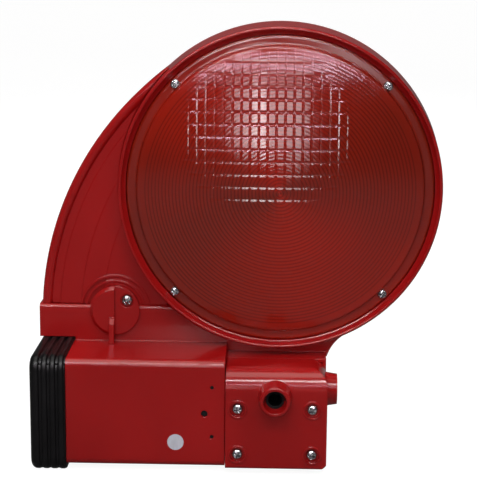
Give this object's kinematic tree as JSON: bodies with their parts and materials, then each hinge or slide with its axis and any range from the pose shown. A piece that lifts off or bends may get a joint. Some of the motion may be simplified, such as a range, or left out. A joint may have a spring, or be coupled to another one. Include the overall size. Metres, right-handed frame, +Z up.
{
  "type": "barricade warning light",
  "caption": "Battery-powered barricade warning light: round red ringed lens on a curved arm, battery box with a ribbed rubber end cap, and a mount block bored for a fixing bolt.",
  "frame": {"origin": "where the axis of the fixing bolt leaves the flat back of the mount block", "axes": "+Z up, +Y out of the back, so the lens looks towards -Y; the battery box runs towards -X"},
  "size_m": [0.274, 0.0935, 0.2947],
  "materials": {
    "red_plastic": "glossy moulded red plastic",
    "red_lens": "clear red lens with fine rings",
    "clear_prism": "clear plastic with a square prism grid",
    "seal_rubber": "soft black rubber",
    "cap_rubber": "matte black ribbed rubber",
    "screw_steel": "bright zinc-plated steel",
    "spring_steel": "plain drawn spring wire",
    "sleeve_steel": "dull steel tube",
    "insert_brass": "turned brass",
    "board_green": "lacquered circuit board",
    "emitter_resin": "clear amber resin",
    "white_plastic": "matte off-white moulding",
    "sensor_black": "matte black moulding",
    "lead_sleeve": "flexible lead sleeve",
    "battery_jacket": "plain printed jacket, no marks",
    "label_paper": "blank round sticker"
  },
  "bodies": {
    "housing": {"base_housing": "red_plastic", "head_housing": "red_plastic", "lens": "red_lens", "lens_seal": "seal_rubber", "lens_screws": "screw_steel", "prism_plate": "clear_prism", "rear_cover": "red_plastic", "rear_seal": "seal_rubber", "rear_screws": "screw_steel", "led_board": "board_green", "led_emitter": "emitter_resin", "led_collar": "white_plastic", "light_sensor": "sensor_black", "board_capacitor": "sensor_black", "board_connector": "white_plastic", "board_screws": "screw_steel", "clamp_disc": "red_plastic", "clamp_screw": "screw_steel", "tab_screws": "screw_steel", "mount_cover": "red_plastic", "cover_screws": "screw_steel", "bolt_sleeve": "sleeve_steel", "side_insert": "insert_brass", "contact_carrier": "white_plastic", "contact_strips": "insert_brass", "carrier_pins": "screw_steel", "switch_body": "sensor_black", "switch_contact": "screw_steel", "power_leads": "lead_sleeve", "blank_label": "label_paper"},
    "end_cap": {"battery_cap": "cap_rubber"},
    "battery": {"battery_case": "battery_jacket", "battery_lid": "sensor_black", "battery_terminals": "spring_steel"},
    "button": {"switch_button": "sensor_black"}
  },
  "joints": [
    {"name": "battery_slide", "type": "slide", "parent": "housing", "child": "battery", "axis": [-1, 0, 0], "range_m": [0, 0.12]},
    {"name": "cap_pull", "type": "slide", "parent": "housing", "child": "end_cap", "axis": [-1, 0, 0], "range_m": [0, 0.15]},
    {"name": "button_press", "type": "slide", "parent": "housing", "child": "button", "axis": [0, 1, 0], "range_m": [0, 0.0015], "stiffness_N_per_m": 400}
  ],
  "couplings": [
    {"joint": "cap_pull", "follows": "battery_slide", "ratio": 1.25}
  ]
}
